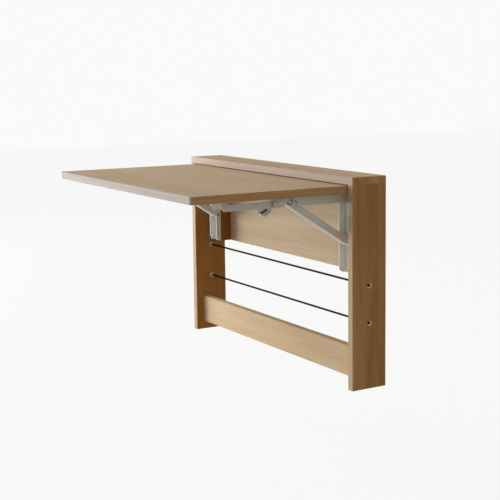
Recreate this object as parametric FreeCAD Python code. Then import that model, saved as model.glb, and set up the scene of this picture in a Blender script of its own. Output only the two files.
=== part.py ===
"""Wall mounted drop leaf table: an oak box frame, a folding leaf and two self-locking folding brackets.

Units are millimetres. X runs along the wall, the wall is the plane Y = 0 and the table stands out towards -Y,
+Z is up. The origin is on the wall plane, at the centre of the row of wall screws. The leaf is open.
"out" below means a distance from the wall and "up" a height above the row of wall screws.
"""

import FreeCAD, Part
import math
import os

from FreeCAD import Vector

# ---------------------------------------------------------------- driving dimensions

# frame boards
FRAME_WIDTH = 800.0
FRAME_HEIGHT = 500.0
FRAME_DEPTH = 95.0
BOARD = 18.0                   # thickness of every frame board
EASE = 0.6                     # rounding of the boards' edges
SCREW_ROW_DROP = 52.0          # row of wall screws, below the frame's top

UPPER_RAIL_HEIGHT = 216.0
UPPER_RAIL_STANDOFF = 6.0      # back face in front of the wall
LOWER_RAIL_HEIGHT = 74.0
LOWER_RAIL_RECESS = 21.5       # front face behind the frame's front
LOWER_RAIL_RAISE = 23.6        # bottom edge above the frame's bottom
BATTEN_HEIGHT = 70.0

# wall screws
WALL_HOLE_RADIUS = 3.0
WALL_HOLE_SPACING = 160.0
WALL_HOLE_COUNT = 4

# joinery
DOWEL_RADIUS = 4.0
DOWEL_LENGTH = 30.0
DOWEL_IN_PANEL = 12.0          # depth in the face of a board
DOWEL_EDGE_INSET = 20.0        # from a rail's edge, or a panel's edge, to the dowel
DOWEL_TOP_INSET = 40.0         # the same at the upper rail's top, clear of the top board's dowels
CAM_RADIUS = 7.5
CAM_DEPTH = 12.5
CAM_SETBACK = 34.0             # cam centre from the rail's end
CAM_BOLT_RADIUS = 3.0
CAM_BOLT_HEAD_RADIUS = 3.5
CAM_BOLT_HEAD = 4.0
CAM_BOLT_IN_PANEL = 11.0
CAM_SLOT = 1.2                 # width of the cam's driver slot
BATTEN_SCREW_RADIUS = 2.25
BATTEN_SCREW_HEAD_RADIUS = 4.5
BATTEN_SCREW_IN_RAIL = 12.0
BATTEN_SCREW_RISE = 16.0       # above the row of wall screws
BATTEN_SCREW_INSET = 42.0      # outer ones, from the side panel's inner face
BLOCK_MARGIN = 2.0             # spacer block beside the wall plate, each side
BLOCK_SCREW_SIDE = 12.0        # screws from the rail into the block, beside its middle
BLOCK_SCREW_INSET = 30.0       # from the block's ends
BLOCK_SCREW_DEPTH = 14.0
FIT = 0.05                     # radial clearance of pins, dowels and screws in their holes

# rods
ROD_RADIUS = 2.5
ROD_RECESS = 49.0              # rod axis behind the frame's front
UPPER_ROD_SHARE = 0.879        # height of each rod in the bay between the rails
LOWER_ROD_SHARE = 0.350
FERRULE_RADIUS = 5.5
FERRULE_LENGTH = 4.5
ROD_SCREW_RADIUS = 1.25
ROD_SCREW_IN_ROD = 20.0
ROD_SCREW_HEAD_RADIUS = 5.0
ROD_SCREW_HEAD = 3.0
ROD_CAP_RADIUS = 8.0
ROD_CAP_POCKET = 12.0          # depth of the counterbore in the side panel
ROD_CAP_SINK = 0.6             # cap face below the panel's face
ROD_CAP_DISH = 5.5             # depth of the dish in the cap
ROD_CAP_RIM = 1.0

# leaf
LEAF_THICKNESS = 18.0
LEAF_SIDE_GAP = 3.0
LEAF_TOP_GAP = 2.0             # under the top board
LEAF_REAR_GAP = 1.0            # behind the leaf, to the spacer blocks
LEAF_FOLDED_BOTTOM = 14.0      # folded leaf's lower edge above the frame's bottom
LEAF_FRONT_CORNER = 10.0
LEAF_REAR_CORNER = 2.0
LAMINATE = 0.8
BAND = 1.0
BAND_EASE = 0.6

# folding bracket: places
BRACKET_INSET = 57.0           # bracket's middle from the side panel's inner face
PIVOT_TO_LEAF = 15.0           # corner pin below the leaf's underside
PIVOT_STANDOFF = 10.0          # corner pin in front of the spacer block
FOOT_DROP = 107.0              # foot pin below the corner pin
SHEET = 2.0
SIDE_GAP = 0.5                 # between wall plate and arm, each side
STRUT_SIDE_GAP = 3.5           # between strut and wall plate, each side
STRUT_WALL_GAP = 1.0           # folded strut in front of the wall plate's web

# wall plate
PLATE_WIDTH = 40.0
PLATE_DEPTH = 16.0
PLATE_ABOVE_PIVOT = 12.0
PLATE_BELOW_FOOT = 74.0
PLATE_FRONT_CORNER = 12.0
PLATE_TOP_CORNER = 7.0
PLATE_RELIEF_GAP = 1.0         # around the folded lever's dog, at the plate's lower end

# arm
ARM_DEPTH = 24.0
ARM_REAR = 8.0                 # web behind the corner pin
ARM_REAR_ROUND = 9.0           # rounding about the corner pin
ARM_RAIL_GAP = 1.0             # folded arm's shoulder above the lower rail
ARM_TIP = 28.0                 # tip beyond the shoulder
ARM_TIP_DEPTH = 3.0
ARM_TIP_GAP = 0.4              # folded arm's tip in front of the lower rail
ARM_SHOULDER = 10.0            # from the shoulder back to the full depth
ARM_SLOT_END_GAP = 43.9        # from the end of the pin's slot to the shoulder
SIGHT_SLOT_LOW = 5.8           # long slot in the lever's flange, above the corner pin
SIGHT_SLOT_HIGH = 12.2
SIGHT_SLOT_START = 6.0         # ahead of the lever's rivet
SIGHT_SLOT_BEYOND = 20.5       # beyond the end of the pin's slot
NOTCH_AHEAD = 15.5             # notch in the lever's flange, ahead of the slide pin
NOTCH_GAP = 1.0                # notch beside the open strut's upper edge
NOTCH_TOP_GAP = 0.4            # notch below the arm's web
BEND_INSIDE = 1.6              # inner radius of the channels' bends

# strut
STRUT_UPPER = 9.0              # upper edge above the line of its pins
STRUT_HEAD = 8.0               # beyond the slide pin
STRUT_HEAD_ROUND = 7.0
STRUT_FOOT_TAPER = 14.0
STRUT_FOOT_ROUND = 12.0
STRUT_HOLE_RADIUS = 1.6        # two holes in the web, near the foot
STRUT_HOLE_ALONG = 12.5
STRUT_HOLE_SIDE = 8.5

# pins
CORNER_PIN_RADIUS = 4.0
CORNER_PIN_HEAD_RADIUS = 6.5
CORNER_PIN_HEAD = 2.0
FOOT_PIN_RADIUS = 3.5
SLIDE_PIN_RADIUS = 4.0
ROLLER_RADIUS = 6.0
ROLLER_GAP = 0.2               # between strut and roller, and roller and pin end
PIN_END_GAP = 0.3              # between the slide pin's ends and the arm
HEAD_GAP = 0.2                 # under the heads of pins and rivets

# release lever, placed along the arm from the corner pin
LEVER_GAP = 0.4                # beside the arm
LEVER_PIVOT_AHEAD = 47.0       # lever's rivet ahead of the slide pin
LEVER_RIVET_RADIUS = 3.0
LEVER_RIVET_HEAD_RADIUS = 5.2
LEVER_RIVET_HEAD = 1.6
DOG_AHEAD = 8.5                # latch dog ahead of the slide pin
DOG_RISE = 6.6                 # latch dog above the slide pin
DOG_RADIUS = 2.75
DOG_MARGIN = 1.4               # nose of the lever around the dog
TOOLING_HOLE_RADIUS = 2.0      # through the lever's nose and the arm
TOOLING_HOLE_AHEAD = 15.5      # ahead of the dog
# corners of the lever's tail: ahead of its rivet, above the corner pin, rounding
LEVER_TAIL = (
    (-16.0, 9.9, 8.0),
    (-8.0, 5.3, 8.0),
    (41.0, 4.6, 6.0),
    (43.3, 0.5, 2.0),
    (41.0, -17.0, 4.0),
    (33.0, -24.0, 4.0),
    (25.0, -25.6, 6.0),
    (6.5, -14.5, 4.0),
    (0.8, -9.0, 3.0),
    (-10.0, -1.0, 8.0),
)
# section of the strip turned outwards along the tail's lower edge, in the same way
HOOK_STRIP = (
    (38.0, -19.6, 0.0),
    (33.0, -24.0, 4.0),
    (25.0, -25.6, 6.0),
    (9.5, -16.3, 0.0),
    (10.5, -14.6, 0.0),
    (25.4, -23.5, 4.0),
    (32.2, -22.0, 2.0),
    (36.6, -18.2, 0.0),
)
HOOK_WIDTH = 9.0
HOOK_SLIT_AHEAD = 25.6         # middle of the slit in the tail, ahead of the rivet
HOOK_SLIT_DROP = 14.7
HOOK_SLIT_LENGTH = 20.0
HOOK_SLIT_WIDTH = 5.0
HOOK_SLIT_TILT = 28.0
GRIP_FRONT = 1.2               # grip in the slit, proud of the tail's outer face
GRIP_BACK = 0.2
SPRING_WIRE = 0.9
SPRING_GAP = 0.3               # around the rivet and beside the lever
SPRING_TURNS = 2.5
SPRING_PITCH = 1.1

# bracket screws
PLATE_SCREW_RADIUS = 2.0
PLATE_SCREW_HEAD_RADIUS = 4.0
PLATE_SCREW_IN_RAIL = 14.0
PLATE_SCREW_PLACES = (20.0, 50.0, 130.0, 157.0)   # above the plate's lower edge
ARM_SCREW_RADIUS = 2.0
ARM_SCREW_HEAD_RADIUS = 4.2
ARM_SCREW_HEAD = 2.2
ARM_SCREW_IN_LEAF = 12.0
ARM_SCREW_FIRST = 30.0         # first screw, along the arm from the corner pin
ARM_SCREW_LAST = 25.0          # last screw, before the arm's shoulder
ARM_SCREW_COUNT = 4
RECESS_LENGTH = 4.4            # driver's cross in the heads
RECESS_WIDTH = 1.0
RECESS_DEPTH = 1.3

# ---------------------------------------------------------------- places that follow from them

TOP = SCREW_ROW_DROP
BOTTOM = TOP - FRAME_HEIGHT
CAP_UNDERSIDE = TOP - BOARD
INNER = FRAME_WIDTH / 2 - BOARD

LEAF_TOP = CAP_UNDERSIDE - LEAF_TOP_GAP
LEAF_UNDERSIDE = LEAF_TOP - LEAF_THICKNESS
PIVOT_UP = LEAF_UNDERSIDE - PIVOT_TO_LEAF
PIVOT_OUT = FRAME_DEPTH - LEAF_THICKNESS - PIVOT_TO_LEAF

BLOCK_FRONT = PIVOT_OUT - PIVOT_STANDOFF
UPPER_RAIL_BACK = UPPER_RAIL_STANDOFF
UPPER_RAIL_FRONT = UPPER_RAIL_BACK + BOARD
UPPER_RAIL_BOTTOM = CAP_UNDERSIDE - UPPER_RAIL_HEIGHT
LOWER_RAIL_FRONT = FRAME_DEPTH - LOWER_RAIL_RECESS
LOWER_RAIL_BACK = LOWER_RAIL_FRONT - BOARD
LOWER_RAIL_BOTTOM = BOTTOM + LOWER_RAIL_RAISE
LOWER_RAIL_TOP = LOWER_RAIL_BOTTOM + LOWER_RAIL_HEIGHT

BAY = UPPER_RAIL_BOTTOM - LOWER_RAIL_TOP
ROD_OUT = FRAME_DEPTH - ROD_RECESS
ROD_HEIGHTS = {
    "upper_rod": LOWER_RAIL_TOP + UPPER_ROD_SHARE * BAY,
    "lower_rod": LOWER_RAIL_TOP + LOWER_ROD_SHARE * BAY,
}

LEAF_HALF_WIDTH = INNER - LEAF_SIDE_GAP
LEAF_REAR = BLOCK_FRONT + LEAF_REAR_GAP
LEAF_FRONT = PIVOT_OUT + PIVOT_UP - BOTTOM - LEAF_FOLDED_BOTTOM

BRACKET_X = INNER - BRACKET_INSET
BEND = BEND_INSIDE + SHEET
PLATE_HALF = PLATE_WIDTH / 2
STRUT_HALF = PLATE_HALF - SHEET - STRUT_SIDE_GAP
ARM_INNER_HALF = PLATE_HALF + SIDE_GAP
ARM_HALF = ARM_INNER_HALF + SHEET
ARM_BOTTOM = PIVOT_TO_LEAF - ARM_DEPTH
ARM_WEB = PIVOT_TO_LEAF - SHEET
ARM_SHOULDER_END = PIVOT_UP - LOWER_RAIL_TOP - ARM_RAIL_GAP
ARM_LENGTH = ARM_SHOULDER_END + ARM_TIP

SLOT_END = ARM_SHOULDER_END - ARM_SLOT_END_GAP
STRUT_LENGTH = SLOT_END - FOOT_DROP
SLIDE_AT = math.sqrt(STRUT_LENGTH ** 2 - FOOT_DROP ** 2)
STRUT_ANGLE = math.degrees(math.atan2(FOOT_DROP, SLIDE_AT))
STRUT_LOWER = PIVOT_STANDOFF - SHEET - STRUT_WALL_GAP

LEVER_PIVOT = SLIDE_AT + LEVER_PIVOT_AHEAD
LEVER_INNER = ARM_HALF + LEVER_GAP
LEVER_OUTER = LEVER_INNER + SHEET
DOG_AT = SLIDE_AT + DOG_AHEAD
TOOLING_HOLE_AT = DOG_AT + TOOLING_HOLE_AHEAD
PIN_END = ARM_INNER_HALF - PIN_END_GAP


# ---------------------------------------------------------------- building blocks

def at(x, out, up):
    """The point at x along the wall, a distance out from it and a height up."""
    return Vector(x, -out, up)


def block(x0, x1, out0, out1, up0, up1):
    """A box between two values in each direction."""
    return Part.makeBox(x1 - x0, out1 - out0, up1 - up0, at(x0, out1, up0))


def board(x0, x1, out0, out1, up0, up1):
    """A board with lightly rounded edges."""
    shape = block(x0, x1, out0, out1, up0, up1)
    return shape.makeFillet(EASE, shape.Edges)


def rod_x(radius, x0, x1, out, up):
    """A cylinder along the wall."""
    return Part.makeCylinder(radius, x1 - x0, at(x0, out, up), Vector(1, 0, 0))


def rod_out(radius, x, out0, out1, up):
    """A cylinder that stands out from the wall."""
    return Part.makeCylinder(radius, out1 - out0, at(x, out0, up), Vector(0, -1, 0))


def rod_up(radius, x, out, up0, up1):
    """An upright cylinder."""
    return Part.makeCylinder(radius, up1 - up0, at(x, out, up0), Vector(0, 0, 1))


def cone_out(radius0, radius1, x, out0, out1, up):
    """A cone that stands out from the wall."""
    return Part.makeCone(radius0, radius1, out1 - out0, at(x, out0, up), Vector(0, -1, 0))


def rounded_outline(corners):
    """A closed wire through corners (point, radius), each rounded by its radius."""
    edges = []
    starts = []
    ends = []
    for index, (corner, radius) in enumerate(corners):
        back = (corners[index - 1][0] - corner).normalize()
        ahead = (corners[(index + 1) % len(corners)][0] - corner).normalize()
        half = back.getAngle(ahead) / 2
        reach = radius / math.tan(half)
        start = corner + back * reach
        end = corner + ahead * reach
        starts.append(start)
        ends.append(end)
        if radius > 0:
            middle = (back + ahead).normalize()
            touch = corner + middle * (radius / math.sin(half) - radius)
            edges.append((index, Part.Arc(start, touch, end).toShape()))
    wire = []
    arcs = dict(edges)
    for index in range(len(corners)):
        if index in arcs:
            wire.append(arcs[index])
        follower = (index + 1) % len(corners)
        if ends[index].distanceToPoint(starts[follower]) > 1e-6:
            wire.append(Part.makeLine(ends[index], starts[follower]))
    return Part.Wire(wire)


def side_prism(x0, x1, corners):
    """A prism along the wall; corners are (out, up, radius) of its side view."""
    wire = rounded_outline([(at(x0, out, up), radius) for out, up, radius in corners])
    return Part.Face(wire).extrude(Vector(x1 - x0, 0, 0))


def plan_prism(up0, up1, half_width, rear, front, rear_radius, front_radius):
    """A flat panel seen from above, with rounded corners."""
    corners = [
        (at(-half_width, rear, up0), rear_radius),
        (at(half_width, rear, up0), rear_radius),
        (at(half_width, front, up0), front_radius),
        (at(-half_width, front, up0), front_radius),
    ]
    return Part.Face(rounded_outline(corners)).extrude(Vector(0, 0, up1 - up0))


def channel_section(half_width, web_outside, edge, place, run):
    """A U channel: web_outside is the web's outer face, edge the flanges' free edge.

    place turns (x, height) of the section into a point, and run is the way it is extruded.
    """
    way = math.copysign(1.0, edge - web_outside)
    outer = [
        (place(-half_width, edge), 0.0),
        (place(-half_width, web_outside), BEND),
        (place(half_width, web_outside), BEND),
        (place(half_width, edge), 0.0),
    ]
    inner_half = half_width - SHEET
    inner = [
        (place(-inner_half, edge + way), 0.0),
        (place(-inner_half, web_outside + way * SHEET), BEND_INSIDE),
        (place(inner_half, web_outside + way * SHEET), BEND_INSIDE),
        (place(inner_half, edge + way), 0.0),
    ]
    solid = Part.Face(rounded_outline(outer)).extrude(run)
    return solid.cut(Part.Face(rounded_outline(inner)).extrude(run))


def union(shapes):
    """One solid of shapes that touch or overlap."""
    whole = shapes[0].fuse(shapes[1:])
    return whole.removeSplitter()


def group(shapes):
    """Separate solids in one node."""
    return Part.makeCompound(shapes)


def cut_all(shape, tools):
    """shape without the tools."""
    return shape.cut(Part.makeCompound(tools))


# ---------------------------------------------------------------- frame

def wall_hole_places():
    """Where the wall screws go, along the wall."""
    first = -WALL_HOLE_SPACING * (WALL_HOLE_COUNT - 1) / 2
    return [first + WALL_HOLE_SPACING * index for index in range(WALL_HOLE_COUNT)]


def top_dowels(radius, end_gap):
    """Upright dowels, or their holes, between the top board and the side panels."""
    middle = INNER + BOARD / 2
    low = CAP_UNDERSIDE - (DOWEL_LENGTH - DOWEL_IN_PANEL) - end_gap
    high = CAP_UNDERSIDE + DOWEL_IN_PANEL + end_gap
    outs = (DOWEL_EDGE_INSET, FRAME_DEPTH - DOWEL_EDGE_INSET)
    return [rod_up(radius, side * middle, out, low, high) for side in (-1, 1) for out in outs]


def rail_dowels(radius, end_gap):
    """Dowels, or their holes, between the rails' ends and the side panels."""
    start = INNER - (DOWEL_LENGTH - DOWEL_IN_PANEL) - end_gap
    end = INNER + DOWEL_IN_PANEL + end_gap
    upper_out = (UPPER_RAIL_BACK + UPPER_RAIL_FRONT) / 2
    lower_out = (LOWER_RAIL_BACK + LOWER_RAIL_FRONT) / 2
    places = [
        (upper_out, UPPER_RAIL_BOTTOM + DOWEL_EDGE_INSET),
        (upper_out, CAP_UNDERSIDE - DOWEL_TOP_INSET),
        (lower_out, LOWER_RAIL_BOTTOM + DOWEL_EDGE_INSET),
        (lower_out, LOWER_RAIL_TOP - DOWEL_EDGE_INSET),
    ]
    right = [rod_x(radius, start, end, out, up) for out, up in places]
    return right + [dowel.mirror(Vector(), Vector(1, 0, 0)) for dowel in right]


def cam_places():
    """Back face and middle height of each rail, where its cams sit."""
    return [
        (UPPER_RAIL_BACK, (UPPER_RAIL_BOTTOM + CAP_UNDERSIDE) / 2),
        (LOWER_RAIL_BACK, (LOWER_RAIL_BOTTOM + LOWER_RAIL_TOP) / 2),
    ]


def cam_bolt(out, up, gap):
    """One cam bolt at the right end of a rail, or with a gap the hole for it."""
    head_start = INNER - CAM_SETBACK
    shaft_start = head_start + CAM_BOLT_HEAD
    head = rod_x(CAM_BOLT_HEAD_RADIUS + gap, head_start - gap, shaft_start, out, up)
    shaft = rod_x(CAM_BOLT_RADIUS + gap, shaft_start - gap, INNER + CAM_BOLT_IN_PANEL + gap, out, up)
    return union([head, shaft])


def cam_bolts(gap):
    """The bolts, or their holes, at both ends of both rails."""
    right = [cam_bolt(back + CAM_DEPTH / 2, up, gap) for back, up in cam_places()]
    return right + [bolt.mirror(Vector(), Vector(1, 0, 0)) for bolt in right]


def cam_centres():
    """Each cam's place along the wall, its rail's back face and its height."""
    middle = INNER - CAM_SETBACK + CAM_BOLT_HEAD / 2
    return [(side * middle, back, up) for back, up in cam_places() for side in (-1, 1)]


def cam_bodies(gap):
    """The cams as plain discs, or with a gap their pockets in the rails' back faces."""
    return [
        rod_out(CAM_RADIUS + gap, x, back, back + CAM_DEPTH + gap, up) for x, back, up in cam_centres()
    ]


def cam_slots():
    """The driver slots across the cams' faces."""
    reach = CAM_RADIUS / 2
    half = CAM_SLOT / 2
    return [
        block(x - reach, x + reach, back, back + CAM_SLOT, up - half, up + half)
        for x, back, up in cam_centres()
    ]


def cam_locks():
    """Cams with a driver slot across their face and a way in for the bolt's head."""
    clear = cam_bolts(FIT)
    return [cut_all(body, [slot] + clear) for body, slot in zip(cam_bodies(0), cam_slots())]


def rod_end_screw(up):
    """The screw that holds a rod's right end, from outside the side panel."""
    seat = FRAME_WIDTH / 2 - ROD_CAP_POCKET
    shaft = rod_x(ROD_SCREW_RADIUS, INNER - ROD_SCREW_IN_ROD, seat, ROD_OUT, up)
    head = rod_x(ROD_SCREW_HEAD_RADIUS, seat, seat + ROD_SCREW_HEAD, ROD_OUT, up)
    return union([shaft, head])


def rod_end_holes(up):
    """Counterbore and screw hole of a rod in the right side panel."""
    seat = FRAME_WIDTH / 2 - ROD_CAP_POCKET
    return [
        rod_x(ROD_SCREW_RADIUS + FIT, INNER - BOARD, seat + BOARD, ROD_OUT, up),
        rod_x(ROD_CAP_RADIUS + FIT, seat, FRAME_WIDTH / 2 + BOARD, ROD_OUT, up),
    ]


def rod_cover_cap(up):
    """A dished cap in the counterbore over the screw's head."""
    seat = FRAME_WIDTH / 2 - ROD_CAP_POCKET + ROD_SCREW_HEAD
    face = FRAME_WIDTH / 2 - ROD_CAP_SINK
    cap = rod_x(ROD_CAP_RADIUS, seat, face, ROD_OUT, up)
    dish_radius = ROD_CAP_RADIUS - ROD_CAP_RIM
    ball_radius = (dish_radius ** 2 + ROD_CAP_DISH ** 2) / (2 * ROD_CAP_DISH)
    ball = Part.makeSphere(ball_radius, at(face - ROD_CAP_DISH + ball_radius, ROD_OUT, up))
    return cap.cut(ball)


def rod_ferrule(up):
    """The collar round a rod's right end."""
    outer = rod_x(FERRULE_RADIUS, INNER - FERRULE_LENGTH, INNER, ROD_OUT, up)
    outer = outer.makeFillet(EASE, [outer.Edges[0], outer.Edges[2]])
    return outer.cut(rod_x(ROD_RADIUS + FIT, INNER - FERRULE_LENGTH - 1, INNER + 1, ROD_OUT, up))


def rod(up):
    """A rod between the side panels, drilled at both ends for its screws."""
    bar = rod_x(ROD_RADIUS, -INNER, INNER, ROD_OUT, up)
    depth = ROD_SCREW_IN_ROD + 1
    hole = rod_x(ROD_SCREW_RADIUS + FIT, INNER - depth, INNER + 1, ROD_OUT, up)
    return cut_all(bar, [hole, hole.mirror(Vector(), Vector(1, 0, 0))])


def both_ends(shapes):
    """Shapes at the right side panel, and the same at the left one."""
    return shapes + [shape.mirror(Vector(), Vector(1, 0, 0)) for shape in shapes]


def batten_screws(gap):
    """Countersunk screws from the batten's back into the upper rail, or their holes."""
    length = UPPER_RAIL_BACK + BATTEN_SCREW_IN_RAIL + gap
    outer = INNER - BATTEN_SCREW_INSET
    thin = BATTEN_SCREW_RADIUS + gap
    wide = BATTEN_SCREW_HEAD_RADIUS + gap
    screws = []
    for x in (-outer, -WALL_HOLE_SPACING, WALL_HOLE_SPACING, outer):
        shaft = rod_out(thin, x, 0, length, BATTEN_SCREW_RISE)
        head = cone_out(wide, thin, x, 0, wide - thin, BATTEN_SCREW_RISE)
        screws.append(union([shaft, head]))
    return screws


def block_screws(gap):
    """Countersunk screws from the upper rail's back into the spacer blocks, or their holes."""
    thin = BATTEN_SCREW_RADIUS + gap
    wide = BATTEN_SCREW_HEAD_RADIUS + gap
    heights = (UPPER_RAIL_BOTTOM + BLOCK_SCREW_INSET, CAP_UNDERSIDE - DOWEL_TOP_INSET - BLOCK_SCREW_INSET)
    screws = []
    for x in (BRACKET_X - BLOCK_SCREW_SIDE, BRACKET_X + BLOCK_SCREW_SIDE):
        for up in heights:
            tip = UPPER_RAIL_FRONT + BLOCK_SCREW_DEPTH + gap
            shaft = rod_out(thin, x, UPPER_RAIL_BACK, tip, up)
            head = cone_out(wide, thin, x, UPPER_RAIL_BACK, UPPER_RAIL_BACK + wide - thin, up)
            screws.append(union([shaft, head]))
    return both_ends(screws)


def spacer_block(side):
    """The upright block between the upper rail and a wall plate."""
    reach = PLATE_HALF + BLOCK_MARGIN
    middle = side * BRACKET_X
    block_shape = board(
        middle - reach, middle + reach, UPPER_RAIL_FRONT, BLOCK_FRONT, UPPER_RAIL_BOTTOM, CAP_UNDERSIDE
    )
    return cut_all(block_shape, plate_screws(side, FIT) + block_screws(FIT))


def frame_parts():
    """Boards, joinery and rods."""
    half = FRAME_WIDTH / 2
    dowel_gap = 0.5
    wall_holes = [
        rod_out(WALL_HOLE_RADIUS, x, -1, UPPER_RAIL_FRONT + 1, 0) for x in wall_hole_places()
    ]
    rod_holes = [hole for up in ROD_HEIGHTS.values() for hole in rod_end_holes(up)]
    panel_holes = (
        top_dowels(DOWEL_RADIUS + FIT, dowel_gap)
        + rail_dowels(DOWEL_RADIUS + FIT, dowel_gap)
        + cam_bolts(FIT)
        + both_ends(rod_holes)
    )
    right_panel = board(INNER, half, 0, FRAME_DEPTH, BOTTOM, CAP_UNDERSIDE)
    left_panel = right_panel.mirror(Vector(), Vector(1, 0, 0))
    top = board(-half, half, 0, FRAME_DEPTH, CAP_UNDERSIDE, TOP)
    upper = board(-INNER, INNER, UPPER_RAIL_BACK, UPPER_RAIL_FRONT, UPPER_RAIL_BOTTOM, CAP_UNDERSIDE)
    lower = board(-INNER, INNER, LOWER_RAIL_BACK, LOWER_RAIL_FRONT, LOWER_RAIL_BOTTOM, LOWER_RAIL_TOP)
    batten = board(-INNER, INNER, 0, UPPER_RAIL_BACK, CAP_UNDERSIDE - BATTEN_HEIGHT, CAP_UNDERSIDE)
    rail_holes = rail_dowels(DOWEL_RADIUS + FIT, dowel_gap) + cam_bolts(FIT) + cam_bodies(FIT)
    screw_holes = batten_screws(FIT)
    parts = {
        "top_board": cut_all(top, top_dowels(DOWEL_RADIUS + FIT, dowel_gap)),
        "left_side_panel": cut_all(left_panel, panel_holes),
        "right_side_panel": cut_all(right_panel, panel_holes),
        "upper_back_rail": cut_all(upper, rail_holes + wall_holes + screw_holes + block_screws(FIT)),
        "lower_rail": cut_all(lower, rail_holes),
        "wall_batten": cut_all(batten, wall_holes + screw_holes),
        "left_spacer_block": spacer_block(-1),
        "right_spacer_block": spacer_block(1),
        "batten_screws": group(batten_screws(0)),
        "block_screws": group(block_screws(0)),
        "top_board_dowels": group(top_dowels(DOWEL_RADIUS, 0)),
        "rail_dowels": group(rail_dowels(DOWEL_RADIUS, 0)),
        "cam_bolts": group(cam_bolts(0)),
        "cam_locks": group(cam_locks()),
        "rod_end_screws": group(both_ends([rod_end_screw(up) for up in ROD_HEIGHTS.values()])),
        "rod_cover_caps": group(both_ends([rod_cover_cap(up) for up in ROD_HEIGHTS.values()])),
        "rod_ferrules": group(both_ends([rod_ferrule(up) for up in ROD_HEIGHTS.values()])),
    }
    for name, up in ROD_HEIGHTS.items():
        parts[name] = rod(up)
    return parts


# ---------------------------------------------------------------- leaf

def leaf_sheet(up0, up1, inset):
    """A sheet of the leaf's outline, drawn in by inset."""
    return plan_prism(
        up0, up1, LEAF_HALF_WIDTH - inset, LEAF_REAR + inset, LEAF_FRONT - inset,
        LEAF_REAR_CORNER - inset, LEAF_FRONT_CORNER - inset,
    )


def leaf_parts():
    """Core, laminate on both faces and the band round the edge."""
    pilots = [pilot for side in (-1, 1) for pilot in arm_screws(side, FIT)]
    band = leaf_sheet(LEAF_UNDERSIDE, LEAF_TOP, 0)
    rims = [edge for edge in band.Edges if abs(edge.BoundBox.ZLength) < EASE]
    band = band.makeFillet(BAND_EASE, rims)
    inside = leaf_sheet(LEAF_UNDERSIDE - BAND, LEAF_TOP + BAND, BAND)
    core = leaf_sheet(LEAF_UNDERSIDE + LAMINATE, LEAF_TOP - LAMINATE, BAND)
    under = leaf_sheet(LEAF_UNDERSIDE, LEAF_UNDERSIDE + LAMINATE, BAND)
    return {
        "leaf_core": cut_all(core, pilots),
        "leaf_top_laminate": leaf_sheet(LEAF_TOP - LAMINATE, LEAF_TOP, BAND),
        "leaf_underside_laminate": cut_all(under, pilots),
        "leaf_edge_band": band.cut(inside),
    }


# ---------------------------------------------------------------- folding bracket
# The bracket is built about its own middle plane x = 0 with the lever on the +X side, and along and above
# its corner pin. place_bracket puts it on the right, or mirrored on the left.

def place_bracket(shape, side):
    """Moves a bracket piece from the corner pin's frame to the right (1) or left (-1) bracket."""
    placed = shape.copy()
    placed.translate(Vector(BRACKET_X, -PIVOT_OUT, PIVOT_UP))
    if side < 0:
        placed = placed.mirror(Vector(), Vector(1, 0, 0))
    return placed


def wall_plate():
    """Upright channel on the upper rail, open to the front, relieved where the folded lever's dog lies."""
    low = -FOOT_DROP - PLATE_BELOW_FOOT
    back = -PIVOT_STANDOFF
    front = back + PLATE_DEPTH
    height = PLATE_ABOVE_PIVOT - low
    shape = channel_section(PLATE_HALF, back, front, lambda x, out: at(x, out, low), Vector(0, 0, height))
    outline = side_prism(-PLATE_WIDTH, PLATE_WIDTH, [
        (back, low, 0.0),
        (front, low, PLATE_FRONT_CORNER),
        (front, PLATE_ABOVE_PIVOT, PLATE_TOP_CORNER),
        (back, PLATE_ABOVE_PIVOT, 0.0),
    ])
    relief_out = DOG_RISE - DOG_RADIUS - PLATE_RELIEF_GAP
    relief_up = DOG_RADIUS + PLATE_RELIEF_GAP - DOG_AT
    relief = side_prism(PLATE_HALF - SHEET - 1, PLATE_WIDTH, [
        (relief_out, min(low, relief_up) - 1, 0.0),
        (relief_out, relief_up, 0.5),
        (front + 1, relief_up, 0.0),
        (front + 1, min(low, relief_up) - 1, 0.0),
    ])
    holes = [
        rod_x(CORNER_PIN_RADIUS + FIT, -PLATE_WIDTH, PLATE_WIDTH, 0, 0),
        rod_x(FOOT_PIN_RADIUS + FIT, -PLATE_WIDTH, PLATE_WIDTH, 0, -FOOT_DROP),
        relief,
    ]
    return cut_all(shape.common(outline), holes + plate_screw_shapes(FIT))


def driver_cross(half_length, half_width, cut_block):
    """Two crossed bars; cut_block makes one from its half sizes in two directions."""
    return union([cut_block(half_length, half_width), cut_block(half_width, half_length)])


def plate_screw_heights():
    """Heights of the wall plate's screws in the bracket's own frame."""
    return [rise - FOOT_DROP - PLATE_BELOW_FOOT for rise in PLATE_SCREW_PLACES]


def plate_screw_shapes(gap):
    """Countersunk screws of the wall plate in the bracket's own frame, or their holes."""
    face = SHEET - PIVOT_STANDOFF
    screws = []
    for up in plate_screw_heights():
        tip = -PIVOT_STANDOFF - PLATE_SCREW_IN_RAIL - gap
        shaft = rod_out(PLATE_SCREW_RADIUS + gap, 0, tip, face, up)
        head = cone_out(PLATE_SCREW_RADIUS + gap, PLATE_SCREW_HEAD_RADIUS + gap, 0, face - SHEET, face, up)
        screws.append(union([shaft, head]))
    return screws


def plate_screw_group():
    """The wall plate's screws with a driver's cross in each head."""
    face = SHEET - PIVOT_STANDOFF
    screws = []
    for up, screw in zip(plate_screw_heights(), plate_screw_shapes(0)):
        cross = driver_cross(
            RECESS_LENGTH / 2, RECESS_WIDTH / 2,
            lambda wide, high: block(-wide, wide, face - RECESS_DEPTH, face, up - high, up + high),
        )
        screws.append(screw.cut(cross))
    return group(screws)


def plate_screws(side, gap):
    """The wall plate's screws, or their holes, in place."""
    return [place_bracket(screw, side) for screw in plate_screw_shapes(gap)]


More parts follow.
